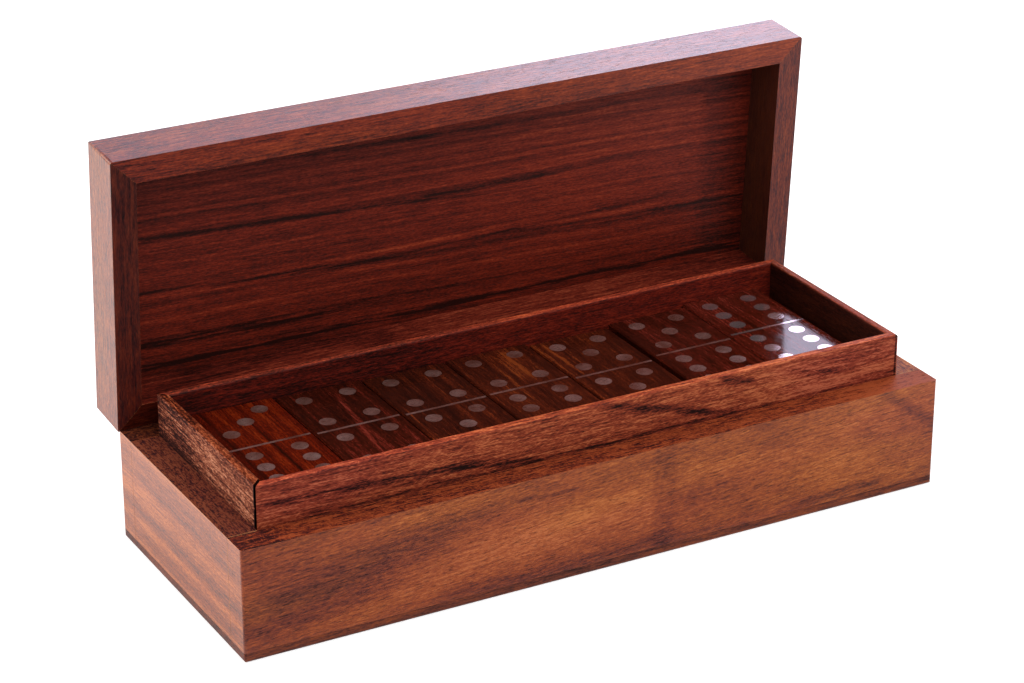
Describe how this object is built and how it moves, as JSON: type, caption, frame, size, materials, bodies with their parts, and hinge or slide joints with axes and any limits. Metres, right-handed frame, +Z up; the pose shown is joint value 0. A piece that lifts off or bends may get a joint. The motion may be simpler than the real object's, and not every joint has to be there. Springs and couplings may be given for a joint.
{
  "type": "domino storage box",
  "caption": "Rectangular hardwood box for dominoes, with a raised inner lining that a hinged lid closes over, packed with tiles in layers.",
  "frame": {"origin": "centre of the underside of the bottom board", "axes": "+X along the box to its right end, -Y out of its front, +Z up; the lid stands open behind"},
  "size_m": [0.209, 0.0927, 0.1095],
  "materials": {
    "case_wood": "satin oiled rosewood",
    "lining_wood": "sawn rosewood, thinly oiled",
    "tile_wood": "polished dark rosewood with metal pips and bar let in flush",
    "hinge_brass": "plain brass"
  },
  "bodies": {
    "base": {"bottom_board": "case_wood", "base_front": "case_wood", "base_back": "case_wood", "base_left": "case_wood", "base_right": "case_wood", "lining_front": "lining_wood", "lining_back": "lining_wood", "lining_left": "lining_wood", "lining_right": "lining_wood", "left_hinge_base_leaf": "hinge_brass", "right_hinge_base_leaf": "hinge_brass", "left_hinge_pin": "hinge_brass", "right_hinge_pin": "hinge_brass", "base_leaf_screws": "hinge_brass"},
    "lid": {"lid_front": "case_wood", "lid_back": "case_wood", "lid_left": "case_wood", "lid_right": "case_wood", "lid_panel": "case_wood", "left_hinge_lid_leaf": "hinge_brass", "right_hinge_lid_leaf": "hinge_brass", "lid_leaf_screws": "hinge_brass"},
    "tile_0_0": {"domino_0_0": "tile_wood"},
    "tile_0_1": {"domino_0_1": "tile_wood"},
    "tile_0_2": {"domino_0_2": "tile_wood"},
    "tile_0_3": {"domino_0_3": "tile_wood"},
    "tile_0_4": {"domino_0_4": "tile_wood"},
    "tile_0_5": {"domino_0_5": "tile_wood"},
    "tile_0_6": {"domino_0_6": "tile_wood"},
    "tile_1_1": {"domino_1_1": "tile_wood"},
    "tile_1_2": {"domino_1_2": "tile_wood"},
    "tile_1_3": {"domino_1_3": "tile_wood"},
    "tile_1_4": {"domino_1_4": "tile_wood"},
    "tile_1_5": {"domino_1_5": "tile_wood"},
    "tile_1_6": {"domino_1_6": "tile_wood"},
    "tile_2_2": {"domino_2_2": "tile_wood"},
    "tile_2_3": {"domino_2_3": "tile_wood"},
    "tile_2_4": {"domino_2_4": "tile_wood"},
    "tile_2_5": {"domino_2_5": "tile_wood"},
    "tile_2_6": {"domino_2_6": "tile_wood"},
    "tile_3_3": {"domino_3_3": "tile_wood"},
    "tile_3_4": {"domino_3_4": "tile_wood"},
    "tile_3_5": {"domino_3_5": "tile_wood"},
    "tile_3_6": {"domino_3_6": "tile_wood"},
    "tile_4_4": {"domino_4_4": "tile_wood"},
    "tile_4_5": {"domino_4_5": "tile_wood"},
    "tile_4_6": {"domino_4_6": "tile_wood"},
    "tile_5_5": {"domino_5_5": "tile_wood"},
    "tile_5_6": {"domino_5_6": "tile_wood"},
    "tile_6_6": {"domino_6_6": "tile_wood"}
  },
  "joints": [
    {"name": "lid_hinge", "type": "hinge", "parent": "base", "child": "lid", "pos_m": [0, 0.03835, 0.0314], "axis": [-1, 0, 0], "range_deg": [-86.3, 0]},
    {"name": "lift_0_0", "type": "slide", "parent": "base", "child": "tile_0_0", "axis": [0, 0, 1], "range_m": [0, 0.045]},
    {"name": "lift_0_1", "type": "slide", "parent": "base", "child": "tile_0_1", "axis": [0, 0, 1], "range_m": [0, 0.045]},
    {"name": "lift_0_2", "type": "slide", "parent": "base", "child": "tile_0_2", "axis": [0, 0, 1], "range_m": [0, 0.045]},
    {"name": "lift_0_3", "type": "slide", "parent": "base", "child": "tile_0_3", "axis": [0, 0, 1], "range_m": [0, 0.045]},
    {"name": "lift_0_4", "type": "slide", "parent": "base", "child": "tile_0_4", "axis": [0, 0, 1], "range_m": [0, 0.045]},
    {"name": "lift_0_5", "type": "slide", "parent": "base", "child": "tile_0_5", "axis": [0, 0, 1], "range_m": [0, 0.045]},
    {"name": "lift_0_6", "type": "slide", "parent": "base", "child": "tile_0_6", "axis": [0, 0, 1], "range_m": [0, 0.045]},
    {"name": "lift_1_1", "type": "slide", "parent": "tile_0_0", "child": "tile_1_1", "axis": [0, 0, 1], "range_m": [0, 0.0364]},
    {"name": "lift_1_2", "type": "slide", "parent": "tile_0_1", "child": "tile_1_2", "axis": [0, 0, 1], "range_m": [0, 0.0364]},
    {"name": "lift_1_3", "type": "slide", "parent": "tile_0_2", "child": "tile_1_3", "axis": [0, 0, 1], "range_m": [0, 0.0364]},
    {"name": "lift_1_4", "type": "slide", "parent": "tile_0_3", "child": "tile_1_4", "axis": [0, 0, 1], "range_m": [0, 0.0364]},
    {"name": "lift_1_5", "type": "slide", "parent": "tile_0_4", "child": "tile_1_5", "axis": [0, 0, 1], "range_m": [0, 0.0364]},
    {"name": "lift_1_6", "type": "slide", "parent": "tile_0_5", "child": "tile_1_6", "axis": [0, 0, 1], "range_m": [0, 0.0364]},
    {"name": "lift_2_2", "type": "slide", "parent": "tile_0_6", "child": "tile_2_2", "axis": [0, 0, 1], "range_m": [0, 0.0364]},
    {"name": "lift_2_3", "type": "slide", "parent": "tile_1_1", "child": "tile_2_3", "axis": [0, 0, 1], "range_m": [0, 0.0278]},
    {"name": "lift_2_4", "type": "slide", "parent": "tile_1_2", "child": "tile_2_4", "axis": [0, 0, 1], "range_m": [0, 0.0278]},
    {"name": "lift_2_5", "type": "slide", "parent": "tile_1_3", "child": "tile_2_5", "axis": [0, 0, 1], "range_m": [0, 0.0278]},
    {"name": "lift_2_6", "type": "slide", "parent": "tile_1_4", "child": "tile_2_6", "axis": [0, 0, 1], "range_m": [0, 0.0278]},
    {"name": "lift_3_3", "type": "slide", "parent": "tile_1_5", "child": "tile_3_3", "axis": [0, 0, 1], "range_m": [0, 0.0278]},
    {"name": "lift_3_4", "type": "slide", "parent": "tile_1_6", "child": "tile_3_4", "axis": [0, 0, 1], "range_m": [0, 0.0278]},
    {"name": "lift_3_5", "type": "slide", "parent": "tile_2_2", "child": "tile_3_5", "axis": [0, 0, 1], "range_m": [0, 0.0278]},
    {"name": "lift_3_6", "type": "slide", "parent": "tile_2_3", "child": "tile_3_6", "axis": [0, 0, 1], "range_m": [0, 0.0192]},
    {"name": "lift_4_4", "type": "slide", "parent": "tile_2_4", "child": "tile_4_4", "axis": [0, 0, 1], "range_m": [0, 0.0192]},
    {"name": "lift_4_5", "type": "slide", "parent": "tile_2_5", "child": "tile_4_5", "axis": [0, 0, 1], "range_m": [0, 0.0192]},
    {"name": "lift_4_6", "type": "slide", "parent": "tile_2_6", "child": "tile_4_6", "axis": [0, 0, 1], "range_m": [0, 0.0192]},
    {"name": "lift_5_5", "type": "slide", "parent": "tile_3_3", "child": "tile_5_5", "axis": [0, 0, 1], "range_m": [0, 0.0192]},
    {"name": "lift_5_6", "type": "slide", "parent": "tile_3_4", "child": "tile_5_6", "axis": [0, 0, 1], "range_m": [0, 0.0192]},
    {"name": "lift_6_6", "type": "slide", "parent": "tile_3_5", "child": "tile_6_6", "axis": [0, 0, 1], "range_m": [0, 0.0192]}
  ]
}
